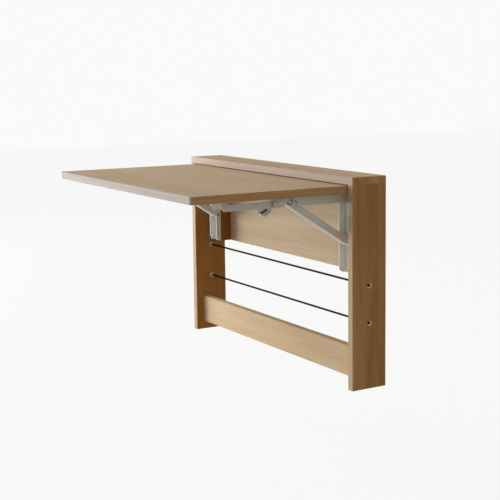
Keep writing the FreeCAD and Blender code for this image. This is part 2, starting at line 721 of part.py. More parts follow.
def arm_screw_places():
    """Distances of the arm's screws along the arm."""
    step = (ARM_SHOULDER_END - ARM_SCREW_LAST - ARM_SCREW_FIRST) / (ARM_SCREW_COUNT - 1)
    return [ARM_SCREW_FIRST + index * step for index in range(ARM_SCREW_COUNT)]


def arm_screw_shapes(gap):
    """Pan head screws of the arm in the bracket's own frame, or their holes."""
    screws = []
    for along in arm_screw_places():
        shaft = rod_up(ARM_SCREW_RADIUS + gap, 0, along, ARM_WEB, PIVOT_TO_LEAF + ARM_SCREW_IN_LEAF + gap)
        head = rod_up(ARM_SCREW_HEAD_RADIUS, 0, along, ARM_WEB - ARM_SCREW_HEAD, ARM_WEB)
        head = head.makeFillet(EASE, [head.Edges[2]])
        screws.append(union([shaft, head]))
    return screws


def arm_screw_group():
    """The arm's screws with a driver's cross in each head."""
    face = ARM_WEB - ARM_SCREW_HEAD
    screws = []
    for along, screw in zip(arm_screw_places(), arm_screw_shapes(0)):
        cross = driver_cross(
            RECESS_LENGTH / 2, RECESS_WIDTH / 2,
            lambda wide, deep: block(-wide, wide, along - deep, along + deep, face, face + RECESS_DEPTH),
        )
        screws.append(screw.cut(cross))
    return group(screws)


def arm_screws(side, gap):
    """The arm's screws, or their holes, in place."""
    return [place_bracket(screw, side) for screw in arm_screw_shapes(gap)]


def long_slot(x0, x1, start, end, low, high):
    """A slot along the arm with round ends, between two heights."""
    radius = (high - low) / 2
    middle = (high + low) / 2
    return union([
        block(x0, x1, start + radius, end - radius, low, high),
        rod_x(radius, x0, x1, start + radius, middle),
        rod_x(radius, x0, x1, end - radius, middle),
    ])


def strut_edge_at(up, gap):
    """How far along the arm the open strut's upper edge, moved out by gap, is at a height."""
    angle = math.radians(STRUT_ANGLE)
    return (up + FOOT_DROP) / math.tan(angle) - (STRUT_UPPER + gap) / math.sin(angle)


def arm_openings():
    """Slot of the slide pin in one flange; notch, sight slot and tooling hole in the lever's flange."""
    inside = ARM_INNER_HALF - 1
    outside = ARM_HALF + 1
    slot_half = SLIDE_PIN_RADIUS + PIN_END_GAP
    pin_slot = long_slot(
        -outside, -inside, SLIDE_AT - slot_half, SLOT_END + slot_half, -slot_half, slot_half
    )
    sight_slot = long_slot(
        inside, outside, LEVER_PIVOT + SIGHT_SLOT_START, SLOT_END + SIGHT_SLOT_BEYOND,
        SIGHT_SLOT_LOW, SIGHT_SLOT_HIGH,
    )
    high = ARM_WEB - NOTCH_TOP_GAP
    low = ARM_BOTTOM - 1
    notch = side_prism(inside, outside, [
        (strut_edge_at(low, NOTCH_GAP), low, 0.0),
        (strut_edge_at(high, NOTCH_GAP), high, 1.5),
        (SLIDE_AT + NOTCH_AHEAD, high, 1.5),
        (SLIDE_AT + NOTCH_AHEAD, low, 0.0),
    ])
    tooling = rod_x(TOOLING_HOLE_RADIUS, inside, outside, TOOLING_HOLE_AT, DOG_RISE)
    return [pin_slot, sight_slot, notch, tooling]


def arm():
    """Channel under the leaf, open downwards, with a tapered tip."""
    run = Vector(0, -(ARM_REAR + ARM_LENGTH), 0)
    shape = channel_section(ARM_HALF, PIVOT_TO_LEAF, ARM_BOTTOM, lambda x, up: at(x, -ARM_REAR, up), run)
    reach = ARM_SHOULDER_END - ARM_SHOULDER
    shoulder_up = LOWER_RAIL_FRONT - PIVOT_OUT + ARM_TIP_GAP
    body = side_prism(-ARM_HALF - 1, ARM_HALF + 1, [
        (-ARM_REAR, 0.0, 0.0),
        (-ARM_REAR, PIVOT_TO_LEAF, 0.0),
        (ARM_LENGTH, PIVOT_TO_LEAF, 0.0),
        (ARM_LENGTH, PIVOT_TO_LEAF - ARM_TIP_DEPTH, 1.5),
        (ARM_SHOULDER_END, shoulder_up, 1.5),
        (reach, ARM_BOTTOM, 6.0),
        (0.0, ARM_BOTTOM, 0.0),
        (0.0, 0.0, 0.0),
    ])
    heel = rod_x(ARM_REAR_ROUND, -ARM_HALF - 1, ARM_HALF + 1, 0, 0)
    heel = heel.common(block(-ARM_HALF - 1, ARM_HALF + 1, -ARM_REAR, ARM_REAR, ARM_BOTTOM, PIVOT_TO_LEAF))
    holes = [
        rod_x(CORNER_PIN_RADIUS + FIT, -ARM_HALF - 1, ARM_HALF + 1, 0, 0),
        rod_x(LEVER_RIVET_RADIUS + FIT, 0, ARM_HALF + 1, LEVER_PIVOT, 0),
    ]
    return cut_all(shape.common(union([body, heel])), arm_openings() + holes + arm_screw_shapes(FIT))


def tilt_strut(shape):
    """Turns a piece drawn along the arm's direction to the open strut's angle, from the foot pin."""
    placed = shape.copy()
    placed.rotate(Vector(), Vector(1, 0, 0), -STRUT_ANGLE)
    placed.translate(at(0, 0, -FOOT_DROP))
    return placed


def strut():
    """Channel from the foot pin to the slide pin, its web on the lower side, with a round head."""
    end = STRUT_LENGTH + STRUT_HEAD
    run = Vector(0, -(end + STRUT_LOWER), 0)
    shape = channel_section(STRUT_HALF, -STRUT_LOWER, STRUT_UPPER, lambda x, up: at(x, -STRUT_LOWER, up), run)
    body = side_prism(-STRUT_HALF - 1, STRUT_HALF + 1, [
        (0.0, -STRUT_LOWER, 0.0),
        (end, -STRUT_LOWER, STRUT_HEAD_ROUND),
        (end, STRUT_UPPER, STRUT_HEAD_ROUND),
        (STRUT_FOOT_TAPER, STRUT_UPPER, STRUT_FOOT_ROUND),
        (0.0, STRUT_LOWER, 0.0),
    ])
    foot = rod_x(STRUT_LOWER, -STRUT_HALF - 1, STRUT_HALF + 1, 0, 0)
    holes = [
        rod_x(FOOT_PIN_RADIUS + FIT, -PLATE_WIDTH, PLATE_WIDTH, 0, 0),
        rod_x(SLIDE_PIN_RADIUS + FIT, -PLATE_WIDTH, PLATE_WIDTH, STRUT_LENGTH, 0),
    ] + [
        rod_up(STRUT_HOLE_RADIUS, x, STRUT_HOLE_ALONG, -STRUT_LOWER - 1, 0)
        for x in (-STRUT_HOLE_SIDE, STRUT_HOLE_SIDE)
    ]
    return tilt_strut(cut_all(shape.common(union([body, foot])), holes))


def slide_rollers():
    """The two rollers on the slide pin, between strut and arm."""
    start = STRUT_HALF + ROLLER_GAP
    end = PIN_END - ROLLER_GAP
    roller = rod_x(ROLLER_RADIUS, start, end, SLIDE_AT, 0)
    roller = roller.cut(rod_x(SLIDE_PIN_RADIUS + FIT, 0, PLATE_WIDTH, SLIDE_AT, 0))
    return group([roller, roller.mirror(Vector(), Vector(1, 0, 0))])


def corner_pin():
    """The pin on which the arm turns, with a head outside each flange of the arm."""
    seat = ARM_HALF + HEAD_GAP
    end = seat + CORNER_PIN_HEAD
    shaft = rod_x(CORNER_PIN_RADIUS, -end, end, 0, 0)
    head = rod_x(CORNER_PIN_HEAD_RADIUS, seat, end, 0, 0)
    rim = [edge for edge in head.Edges if edge.BoundBox.XMin > end - EASE]
    head = head.makeFillet(EASE, rim)
    return union([shaft, head, head.mirror(Vector(), Vector(1, 0, 0))])


def beside_rivet(corners):
    """Corners given ahead of the lever's rivet, as distances from the corner pin."""
    return [(LEVER_PIVOT + ahead, up, radius) for ahead, up, radius in corners]


def tail_slit(x0, x1, gap):
    """The oblong slit in the lever's tail, or what fits it with a gap."""
    middle = LEVER_PIVOT + HOOK_SLIT_AHEAD
    reach = HOOK_SLIT_LENGTH / 2 - gap
    half = HOOK_SLIT_WIDTH / 2 - gap
    slit = long_slot(x0, x1, middle - reach, middle + reach, -HOOK_SLIT_DROP - half, -HOOK_SLIT_DROP + half)
    slit.rotate(at(0, middle, -HOOK_SLIT_DROP), Vector(1, 0, 0), HOOK_SLIT_TILT)
    return slit


def lever():
    """Side plate with a nose for the dog and a slit tail, its lower edge turned outwards as a finger hook."""
    nose = DOG_RADIUS + DOG_MARGIN
    tip = [(DOG_AT - nose, DOG_RISE - nose, 3.0), (DOG_AT - nose, DOG_RISE + nose, 3.0)]
    plate = side_prism(LEVER_INNER, LEVER_OUTER, tip + beside_rivet(LEVER_TAIL))
    hook = side_prism(LEVER_INNER, LEVER_INNER + HOOK_WIDTH, beside_rivet(HOOK_STRIP))
    holes = [
        rod_x(LEVER_RIVET_RADIUS + FIT, 0, LEVER_OUTER + 1, LEVER_PIVOT, 0),
        rod_x(DOG_RADIUS + FIT, 0, LEVER_OUTER + 1, DOG_AT, DOG_RISE),
        rod_x(TOOLING_HOLE_RADIUS, 0, LEVER_OUTER + 1, TOOLING_HOLE_AT, DOG_RISE),
        tail_slit(0, LEVER_OUTER + 1, 0),
    ]
    return cut_all(union([plate, hook]), holes)


def lever_grip():
    """The plastic grip pressed into the slit of the lever's tail."""
    return tail_slit(LEVER_INNER - GRIP_BACK, LEVER_OUTER + GRIP_FRONT, FIT)


def latch_dog():
    """The short pin in the lever's nose that blocks the roller."""
    return rod_x(DOG_RADIUS, STRUT_HALF + ROLLER_GAP, LEVER_OUTER, DOG_AT, DOG_RISE)


def spring_length():
    """Length of the return spring along the rivet."""
    return SPRING_TURNS * SPRING_PITCH + SPRING_WIRE


def lever_rivet():
    """Rivet of the lever, flush inside the arm, with its head outside the spring."""
    seat = LEVER_OUTER + 2 * SPRING_GAP + spring_length()
    shaft = rod_x(LEVER_RIVET_RADIUS, ARM_INNER_HALF, seat, LEVER_PIVOT, 0)
    head = rod_x(LEVER_RIVET_HEAD_RADIUS, seat, seat + LEVER_RIVET_HEAD, LEVER_PIVOT, 0)
    rim = [edge for edge in head.Edges if edge.BoundBox.XMin > seat + LEVER_RIVET_HEAD - EASE]
    return union([shaft, head.makeFillet(EASE, rim)])


def lever_spring():
    """Coil spring round the rivet, between the lever and the rivet's head."""
    wire_radius = SPRING_WIRE / 2
    coil_radius = LEVER_RIVET_RADIUS + SPRING_GAP + wire_radius
    helix = Part.makeHelix(SPRING_PITCH, SPRING_TURNS * SPRING_PITCH, coil_radius)
    section = Part.Wire(Part.makeCircle(wire_radius, Vector(coil_radius, 0, 0), Vector(0, 1, 0)))
    coil = Part.Wire(helix).makePipeShell([section], True, True)
    coil.rotate(Vector(), Vector(0, 1, 0), 90)
    coil.translate(at(LEVER_OUTER + SPRING_GAP + wire_radius, LEVER_PIVOT, 0))
    return coil


def bracket_parts(side, prefix):
    """Every piece of one folding bracket."""
    pieces = {
        "wall_plate": wall_plate(),
        "arm": arm(),
        "strut": strut(),
        "corner_pin": corner_pin(),
        "foot_pin": rod_x(FOOT_PIN_RADIUS, -PLATE_HALF, PLATE_HALF, 0, -FOOT_DROP),
        "slide_pin": rod_x(SLIDE_PIN_RADIUS, -PIN_END, PIN_END, SLIDE_AT, 0),
        "slide_rollers": slide_rollers(),
        "release_lever": lever(),
        "lever_grip": lever_grip(),
        "latch_dog": latch_dog(),
        "lever_rivet": lever_rivet(),
        "lever_spring": lever_spring(),
        "wall_plate_screws": plate_screw_group(),
        "arm_screws": arm_screw_group(),
    }
    return {prefix + name: place_bracket(shape, side) for name, shape in pieces.items()}


# ---------------------------------------------------------------- export

def main():
    """Builds every piece and writes one file for each."""
    os.makedirs("parts", exist_ok=True)
    parts = frame_parts()
    parts.update(leaf_parts())
    parts.update(bracket_parts(-1, "left_"))
    parts.update(bracket_parts(1, "right_"))
    for name, shape in parts.items():
        shape.exportStep("parts/" + name + ".step")
    print(len(parts), "parts")
    print("corner pin out, up:", round(PIVOT_OUT, 3), round(PIVOT_UP, 3), "bracket x:", round(BRACKET_X, 3))
    print("foot pin up:", round(PIVOT_UP - FOOT_DROP, 3), "slide pin out:", round(PIVOT_OUT + SLIDE_AT, 3))
    print("lever rivet out:", round(PIVOT_OUT + LEVER_PIVOT, 3), "strut angle:", round(STRUT_ANGLE, 4))
    print("leaf front:", round(LEAF_FRONT, 3), "arm end:", round(PIVOT_OUT + ARM_LENGTH, 3))


main()
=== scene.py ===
# %% [markdown]
# # Wall mounted drop leaf table
#
# The table is an oak box frame that hangs on a wall. A leaf folds down in front of it on two steel
# brackets, and two black rods cross the open bay between a wide upper rail and a narrow lower rail.
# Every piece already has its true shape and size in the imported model, so this lesson is about light and
# finish: each piece gets a procedural material that follows how it is made.

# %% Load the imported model
import math

import bpy
from mathutils import Matrix, Vector


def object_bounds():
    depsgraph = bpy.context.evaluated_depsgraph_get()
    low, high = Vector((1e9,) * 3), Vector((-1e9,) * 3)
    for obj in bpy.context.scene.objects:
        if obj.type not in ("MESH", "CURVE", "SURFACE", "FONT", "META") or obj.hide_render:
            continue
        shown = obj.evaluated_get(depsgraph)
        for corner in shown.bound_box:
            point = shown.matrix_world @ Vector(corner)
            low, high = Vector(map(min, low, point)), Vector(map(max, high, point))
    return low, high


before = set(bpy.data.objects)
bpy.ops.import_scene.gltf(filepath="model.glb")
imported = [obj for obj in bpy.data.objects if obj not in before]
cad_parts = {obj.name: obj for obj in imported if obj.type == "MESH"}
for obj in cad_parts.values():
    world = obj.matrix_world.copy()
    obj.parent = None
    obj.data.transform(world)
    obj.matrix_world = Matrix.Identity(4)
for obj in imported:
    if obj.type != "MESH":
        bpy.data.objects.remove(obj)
scene = bpy.context.scene


def as_lists(box):
    """A box of vectors as plain lists of numbers."""
    return [[float(value) for value in corner] for corner in box]


cad_box = as_lists(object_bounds())
print("nodes:", len(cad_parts), "box:", cad_box)

# %% [markdown]
# ## Camera
#
# A camera could be aimed by hand, but a camera that is placed by numbers keeps its view when the scene is
# rebuilt. It stands to the right of the table, a little above it, and looks slightly down. The direction
# is built from three turns: yaw about the upright axis, pitch, and a small roll.

# %% Camera
CAMERA_PLACE = Vector((2.5341875, -1.5907375, 0.2980612))
CAMERA_TURNS = (57.60934, 7.735415, -0.410564)     # yaw, pitch and roll in degrees
CAMERA_LENS = 82.856                               # millimetres
SENSOR_WIDTH = 36.0                                # millimetres
CAMERA_SHIFT = (-0.1, -0.05)

yaw, pitch, roll = (math.radians(angle) for angle in CAMERA_TURNS)
forward = Vector((
    -math.sin(yaw) * math.cos(pitch), math.cos(yaw) * math.cos(pitch), -math.sin(pitch)
))
level = forward.cross(Vector((0, 0, 1))).normalized()
upright = level.cross(forward)
camera_right = level * math.cos(roll) + upright * math.sin(roll)
camera_up = upright * math.cos(roll) - level * math.sin(roll)

camera = bpy.data.objects.new("camera", bpy.data.cameras.new("camera"))
camera.matrix_world = (
    Matrix.Translation(CAMERA_PLACE)
    @ Matrix((camera_right, camera_up, -forward)).transposed().to_4x4()
)
camera.data.lens = CAMERA_LENS
camera.data.sensor_width = SENSOR_WIDTH
camera.data.shift_x, camera.data.shift_y = CAMERA_SHIFT
scene.collection.objects.link(camera)
scene.camera = camera
scene.view_settings.view_transform = "Standard"
print("camera at", tuple(round(value, 3) for value in CAMERA_PLACE))

# %% [markdown]
# ## Shader arithmetic
#
# A material is a graph of nodes. Wiring each node by hand is long and hard to read, so a small class wraps
# one output socket, and the usual operators add the Math nodes.

# %% Fields
def connect(socket, value):
    """Links a field to a socket, or sets a plain value on it."""
    if isinstance(value, Field):
        socket.id_data.links.new(value.socket, socket)
    else:
        socket.default_value = value


class Field:
    """One output of a node: a value, colour or vector that changes over a surface."""

    def __init__(self, socket):
        self.socket = socket

    def math(self, operation, first, second):
        """A Math node on two values, of which at least one is a field."""
        node = self.socket.id_data.nodes.new("ShaderNodeMath")
        node.operation = operation
        connect(node.inputs[0], first)
        connect(node.inputs[1], second)
        return Field(node.outputs[0])

    def __add__(self, other):
        return self.math("ADD", self, other)

    def __radd__(self, other):
        return self.math("ADD", other, self)

    def __sub__(self, other):
        return self.math("SUBTRACT", self, other)

    def __rsub__(self, other):
        return self.math("SUBTRACT", other, self)

    def __mul__(self, other):
        return self.math("MULTIPLY", self, other)

    def __rmul__(self, other):
        return self.math("MULTIPLY", other, self)


print("fields add, subtract and multiply")

# %% [markdown]
# ## Node graphs
#
# Anything that is not arithmetic, such as a noise texture or a colour mix, comes from one method, `node`,
# of the graph that it belongs to. Colours and vectors go through Mix and Vector Math, because a Math node
# would turn a colour grey.

# %% Graphs
def linear(red, green, blue):
    """A colour on the 0 to 255 scale, as the linear colour that shaders take."""
    parts = [value / 255 for value in (red, green, blue)]
    return tuple(
        part / 12.92 if part <= 0.04045 else ((part + 0.055) / 1.055) ** 2.4 for part in parts
    ) + (1.0,)


class Graph:
    """The node tree of a material or of the world."""

    def __init__(self, owner):
        owner.use_nodes = True
        self.tree = owner.node_tree

    def node(self, kind, settings=None, output=None, in_order=(), **by_name):
        """Adds a node: its settings first, then its sockets, in their order or by name."""
        node = self.tree.nodes.new(kind)
        for name, value in (settings or {}).items():
            setattr(node, name, value)
        for socket, value in zip(node.inputs, in_order):
            connect(socket, value)
        for name, value in by_name.items():
            wanted = name.replace("_", " ").lower()
            socket = next(s for s in node.inputs if s.enabled and s.name.lower() == wanted)
            connect(socket, value)
        outputs = [socket for socket in node.outputs if socket.enabled]
        if output is None:
            return Field(outputs[0])
        return Field(next(socket for socket in outputs if socket.name == output))

    def mix(self, factor, first, second, blend="MIX"):
        """A colour between two colours, or the first one blended with the second."""
        settings = {"data_type": "RGBA", "blend_type": blend}
        return self.node("ShaderNodeMix", settings, factor=factor, a=first, b=second)

    def vector_math(self, operation, vector, parts):
        """A vector changed by three numbers, part by part."""
        return self.node("ShaderNodeVectorMath", {"operation": operation}, in_order=(vector, parts))


print("graphs make any node")

# %% [markdown]
# ## Finishes
#
# A finish is a graph on the Principled shader. Its patterns are laid out in the piece's own coordinates,
# which are metres and stay with the piece when it moves.

# %% Finishes
class Finish(Graph):
    """A material on the Principled shader, with the piece's own coordinates."""

    def __init__(self, name, **constants):
        self.material = bpy.data.materials.new(name)
        super().__init__(self.material)
        self.shader = self.tree.nodes["Principled BSDF"]
        for label, value in constants.items():
            self.set(label, value)
        self.place = self.node("ShaderNodeTexCoord", output="Object")

    def set(self, label, value):
        """Sets or links a socket of the shader."""
        connect(self.shader.inputs[label.replace("_", " ")], value)

    def coordinate(self, axis):
        """The place on the piece along one axis."""
        return self.node("ShaderNodeSeparateXYZ", output=axis, vector=self.place)

    def noise(self, scales, detail=2.0, roughness=0.5, shift=(0.0, 0.0, 0.0)):
        """Noise from 0 to 1, with its own scale, in bumps per metre, along each axis."""
        moved = self.vector_math("ADD", self.place, shift)
        vector = self.vector_math("MULTIPLY", moved, scales)
        return self.node(
            "ShaderNodeTexNoise", vector=vector, scale=1.0, detail=detail, roughness=roughness
        )

    def ramp(self, value, low, high):
        """A value stretched from 0 at low to 1 at high, and held beyond them."""
        return self.node(
            "ShaderNodeMapRange", {"clamp": True}, value=value, from_min=low, from_max=high
        )

    def toned(self, tone, tones):
        """A colour between a light tone, where the field is 1, and a dark one."""
        light, dark = tones
        return self.mix(tone, linear(*dark), linear(*light))

    def bump(self, height, depth):
        """Raises the surface by a height field, up to depth metres."""
        self.set("Normal", self.node(
            "ShaderNodeBump", strength=1.0, distance=depth, height=height
        ))


def evenly(scale):
    """The same scale along every axis."""
    return (scale, scale, scale)


print("finishes ready")

# %% [markdown]
# ## Backdrop
#
# A studio shot has a white surround. A brighter lamp would bleach the object, so the surround is white
# only where it is seen: Light Path tells a ray from the camera, a mirror ray and a ray through glass apart
# from the rays that light the object. Those meet a weak warm fill.

# %% World
SURROUND = (0.956, 0.956, 0.956, 1.0)
FILL_COLOUR = (1.0, 0.90, 0.78)
FILL_STRENGTH = 0.43


def seen_rays(graph):
    """1 for rays from the camera, mirrors and glass, and 0 for rays that light the object."""
    kinds = ("Is Camera Ray", "Is Glossy Ray", "Is Transmission Ray")
    camera_ray, glossy, glass = (graph.node("ShaderNodeLightPath", output=kind) for kind in kinds)
    return camera_ray + glossy + glass


scene.world = bpy.data.worlds.new("studio")
sky = Graph(scene.world)
fill = tuple(part * FILL_STRENGTH for part in FILL_COLOUR) + (1.0,)
surround = sky.mix(seen_rays(sky), fill, SURROUND)
connect(sky.tree.nodes["Background"].inputs["Color"], surround)
print("fill light", tuple(round(part, 3) for part in fill[:3]))

# %% [markdown]
# ## Floor
#
# The same trick makes the floor white where it is seen and leaves it a faint shadow. Its own colour is a
# middle grey, so that it throws only a little light up under the leaf. Shadows need a plain floor, and one
# large square is enough for that.

# %% Floor
FLOOR_HEIGHT = -0.72            # the leaf is then at the height of a dining table
FLOOR_REACH = 12.0              # from the middle to each side
FLOOR_TONE = (176, 176, 176)
FLOOR_WHITENESS = 0.91
WHITE = (1.0, 1.0, 1.0, 1.0)

floor_mesh = bpy.data.meshes.new("floor")
corners = ((-1, -1), (1, -1), (1, 1), (-1, 1))
floor_mesh.from_pydata(
    [(x * FLOOR_REACH, y * FLOOR_REACH, FLOOR_HEIGHT) for x, y in corners], [], [(0, 1, 2, 3)]
)
floor = bpy.data.objects.new("floor", floor_mesh)
scene.collection.objects.link(floor)

floor_finish = Finish(
    "studio_floor", Base_Color=linear(*FLOOR_TONE), Roughness=0.9, Specular_IOR_Level=0.1
)
glow = floor_finish.node("ShaderNodeEmission", color=WHITE, strength=1.0)
whiteness = seen_rays(floor_finish) * FLOOR_WHITENESS
lit = Field(floor_finish.shader.outputs[0])
blend = floor_finish.node("ShaderNodeMixShader", in_order=(whiteness, lit, glow))
connect(floor_finish.tree.nodes["Material Output"].inputs["Surface"], blend)
floor_mesh.materials.append(floor_finish.material)
print("floor at", FLOOR_HEIGHT)

# %% [markdown]
# ## Lamps
#
# The front of the table is bright, its upper faces are a little darker, and the faces to the right are in
# the shade. That asks for a wide lamp on the left in front, nearly level with the table so that the rail
# under the leaf is lit too, and a weaker one above it for the upper faces. Area lamps are used because a
# large lamp gives shadows with soft edges.

# %% Lamps
AIM = Vector((0.0, -0.15, -0.12))


def area_lamp(name, place, size, power, colour):
    """A lamp of a given width and height at a place, aimed at the table."""
    lamp = bpy.data.lights.new(name, "AREA")
    lamp.shape = "RECTANGLE"
    lamp.size, lamp.size_y = size
    lamp.energy = power
    lamp.color = colour
    holder = bpy.data.objects.new(name, lamp)
    holder.location = place
    holder.rotation_euler = (AIM - Vector(place)).to_track_quat("-Z", "Y").to_euler()
    scene.collection.objects.link(holder)
    return holder


lamps = (
    area_lamp("side_lamp", place=(-4.35, -2.45, 0.05), size=(4.2, 2.0), power=335.0,
              colour=(0.98, 0.99, 1.0)),
    area_lamp("high_lamp", place=(-1.8, -2.0, 1.9), size=(2.2, 1.6), power=36.0,
              colour=(1.0, 0.995, 0.98)),
)
print("lamps:", [lamp.name for lamp in lamps])

# %% [markdown]
# ## Oak veneer
#
# The boards are particle board with oak veneer and a satin lacquer. Oak shows three things at three
# scales: wide soft bands from the growth rings, fine fibres a millimetre apart, and short dark pores.
# A flat picture of wood would have to be wrapped round each board, but noise that is stretched along the
# grain follows every board without seams, and its scale is right because it is in metres.

# %% Oak grain
ALONG_X = 0
ALONG_Z = 2
GROWTH_BANDS = (2.2, 26.0)      # bumps per metre along the grain and across it
OAK_FIBRES = (14.0, 520.0)
OAK_STREAKS = (5.0, 150.0)
PORE_DASHES = (90.0, 1500.0)
PORE_TONE = (150, 118, 84)
PORE_DARKNESS = 0.35
LACQUER_SPECULAR = 0.12
LACQUER_ROUGHNESS = 0.62
OAK_RELIEF = 0.00012


def along_grain(axis, scales):
    """Scales for a noise that is stretched along one axis."""
    along, across = scales
    return tuple(along if part == axis else across for part in range(3))


class Oak(Finish):
    """Lacquered oak veneer, on which single faces can be covered with other tones."""

    def __init__(self, name, tones, axis, shift):
        super().__init__(name, Specular_IOR_Level=LACQUER_SPECULAR)
        bands = self.noise(along_grain(axis, GROWTH_BANDS), 3.0, 0.55, shift)
        streaks = self.noise(along_grain(axis, OAK_STREAKS), shift=shift)
        dashes = self.noise(along_grain(axis, PORE_DASHES), detail=1.0, shift=shift)
        self.fibres = self.noise(along_grain(axis, OAK_FIBRES), 3.0, 0.6, shift)
        self.pores = self.ramp(dashes, 0.60, 0.68) * self.ramp(streaks, 0.42, 0.60)
        self.grain = self.ramp(bands * 0.45 + self.fibres * 0.25 + streaks * 0.30, 0.40, 0.60)
        self.colour = self.toned(self.grain, tones)

    def cover(self, mask, tones):
        """Gives the stretch where a mask is 1 tones of its own."""
        self.colour = self.mix(mask, self.colour, self.toned(self.grain, tones))

    def lacquered(self):
        """Adds the pores, gloss and relief, and gives the material."""
        pored = self.mix(self.pores * PORE_DARKNESS, self.colour, linear(*PORE_TONE), "MULTIPLY")
        self.set("Base_Color", pored)
        self.set("Roughness", LACQUER_ROUGHNESS + self.fibres * 0.12)
        self.bump(self.fibres * 0.4 - self.pores * 0.6, OAK_RELIEF)
        return self.material


print("oak fibres per metre, along and across:", OAK_FIBRES)

# %% [markdown]
# ## Edges of the boards
#
# Front edges and the top board's ends are closed with a thin glued band. The front bands have tones of their
# own, while the outer sides, the top board's ends among them, take the darker, warmer tone of the panels'
# sides, which is painted shade. Cut faces with no band, such as a drilled hole, show the pale raw board
# between the two veneers. Separate pieces could carry those tones, but a board is one piece, so a mask finds
# each stretch by its place.

# %% Masks for the boards' edges
HALF_WIDTH = cad_box[1][0]
BOARD = 0.018
FRAME_DEPTH = 0.095
EDGE_BAND = 0.0008
VENEER = 0.0006
SEAM = 0.0001                   # a mask goes from 0 to 1 over this width
WARM_SHADE = (1.0, 0.97, 0.9)

band_back = EDGE_BAND - FRAME_DEPTH
end_band_inside = HALF_WIDTH - EDGE_BAND
outer_veneer = HALF_WIDTH - VENEER
inner_veneer = HALF_WIDTH - BOARD + VENEER


def front_edge(oak):
    """1 on the edge band at the front of the frame."""
    return oak.ramp(oak.coordinate("Y"), band_back, band_back - SEAM)


def outer_sides(oak):
    """1 on the frame's outer left and right sides."""
    across = oak.coordinate("X")
    return oak.ramp(across * across, end_band_inside ** 2, HALF_WIDTH ** 2)


def bare_board(oak):
    """1 between the veneers of the right panel, behind its edge band."""
    across = oak.coordinate("X")
    below_outer = oak.ramp(across, outer_veneer, outer_veneer - SEAM)
    above_inner = oak.ramp(across, inner_veneer, inner_veneer + SEAM)
    behind_band = oak.ramp(oak.coordinate("Y"), band_back, band_back + SEAM)
    return below_outer * above_inner * behind_band


def paint_shade_to_wall(oak, brightness):
    """Paints shade on a board, darker little by little from its front to the wall."""
    shaded = tuple(part * brightness for part in WARM_SHADE) + (1.0,)
    nearness = oak.ramp(oak.coordinate("Y"), -FRAME_DEPTH, 0.0)
    oak.colour = oak.mix(1.0, oak.colour, oak.mix(nearness, WHITE, shaded), "MULTIPLY")


print("edge bands in front of", round(band_back, 4))

# %% [markdown]
# ## Boards
#
# Every board is cut from another sheet, so each finish moves the grain to another place. The panels are
# seen from both sides and have the most tones; rails, blocks and batten are plain. The darker, warmer tones
# of the panels' sides, the left panel's inner face and the blocks are painted shade.

# %% Oak of each board
# The tones of the panels' sides, the left panel's inner face and the blocks are darker and warmer than the
# rails' oak: that difference is painted shade.
SHADED_SIDE_FACE = ((203, 160, 107), (170, 128, 76))     # light and dark tone
SHADED_INNER_FACE = ((178, 128, 66), (154, 104, 47))
CAP_FACE = ((198, 176, 144), (176, 152, 120))
RAIL_FACE = ((206, 183, 148), (188, 161, 126))
UPPER_RAIL_FACE = ((207, 186, 155), (186, 162, 130))
SHADED_BLOCK_FACE = ((166, 108, 46), (146, 90, 34))
FRONT_EDGE = ((192, 170, 140), (180, 156, 125))
CAP_EDGE = ((194, 178, 166), (182, 165, 152))
RAW_BOARD = ((244, 226, 196), (232, 210, 176))
# Brightness of the painted shade on the right panel at the wall.
WALL_SHADE = 0.78


def top_board_oak():
    """Top board, with a band on its front and on both ends, and the painted shade tone of the sides on the
    ends.
    """
    oak = Oak("oak_top_board", CAP_FACE, ALONG_X, shift=(0.3, 0.1, 0.2))
    oak.cover(front_edge(oak), CAP_EDGE)
    oak.cover(outer_sides(oak), SHADED_SIDE_FACE)
    return oak.lacquered()


def left_panel_oak():
    """Left panel, with painted shade as a darker, warmer tone on its inner face in the open bay and on its
    outer side.
    """
    oak = Oak("oak_left_panel", SHADED_INNER_FACE, ALONG_Z, shift=(0.7, 0.2, 0.4))
    oak.cover(front_edge(oak), FRONT_EDGE)
    oak.cover(outer_sides(oak), SHADED_SIDE_FACE)
    return oak.lacquered()


def right_panel_oak():
    """Right panel in the painted shade tone of the sides, with more painted shade towards the wall, and with
    bare board in its rod holes and at its ends.
    """
    oak = Oak("oak_right_panel", SHADED_SIDE_FACE, ALONG_Z, shift=(1.3, 0.6, 0.9))
    oak.cover(front_edge(oak), FRONT_EDGE)
    paint_shade_to_wall(oak, WALL_SHADE)
    oak.cover(bare_board(oak), RAW_BOARD)
    return oak.lacquered()


cap_oak = top_board_oak()
left_oak = left_panel_oak()
right_oak = right_panel_oak()
upper_oak = Oak("oak_upper_rail", UPPER_RAIL_FACE, ALONG_X, shift=(2.1, 0.4, 0.3)).lacquered()
lower_oak = Oak("oak_lower_rail", RAIL_FACE, ALONG_X, shift=(3.7, 0.8, 0.6)).lacquered()
# The blocks' dark, warm tone is painted shade.
block_oak = Oak("oak_blocks", SHADED_BLOCK_FACE, ALONG_Z, shift=(4.4, 0.1, 0.7)).lacquered()
batten_oak = Oak("oak_batten", RAIL_FACE, ALONG_X, shift=(5.2, 0.3, 0.1)).lacquered()
print("oak boards:", cap_oak.name, left_oak.name, right_oak.name, upper_oak.name, lower_oak.name)

# %% [markdown]
# ## Leaf faces
#
# The leaf's faces are a matt laminate, which is printed with a fine oak figure and pressed flat. The
# veneer's finish would be too lively for it, so it has a fainter figure, no pores and hardly any relief.

# %% Laminate
TOP_FACE = ((193, 172, 140), (171, 149, 118))
UNDERSIDE = ((186, 166, 138), (176, 156, 128))
PRINTED_BANDS = (1.4, 9.0)
PRINTED_FIBRES = (9.0, 380.0)


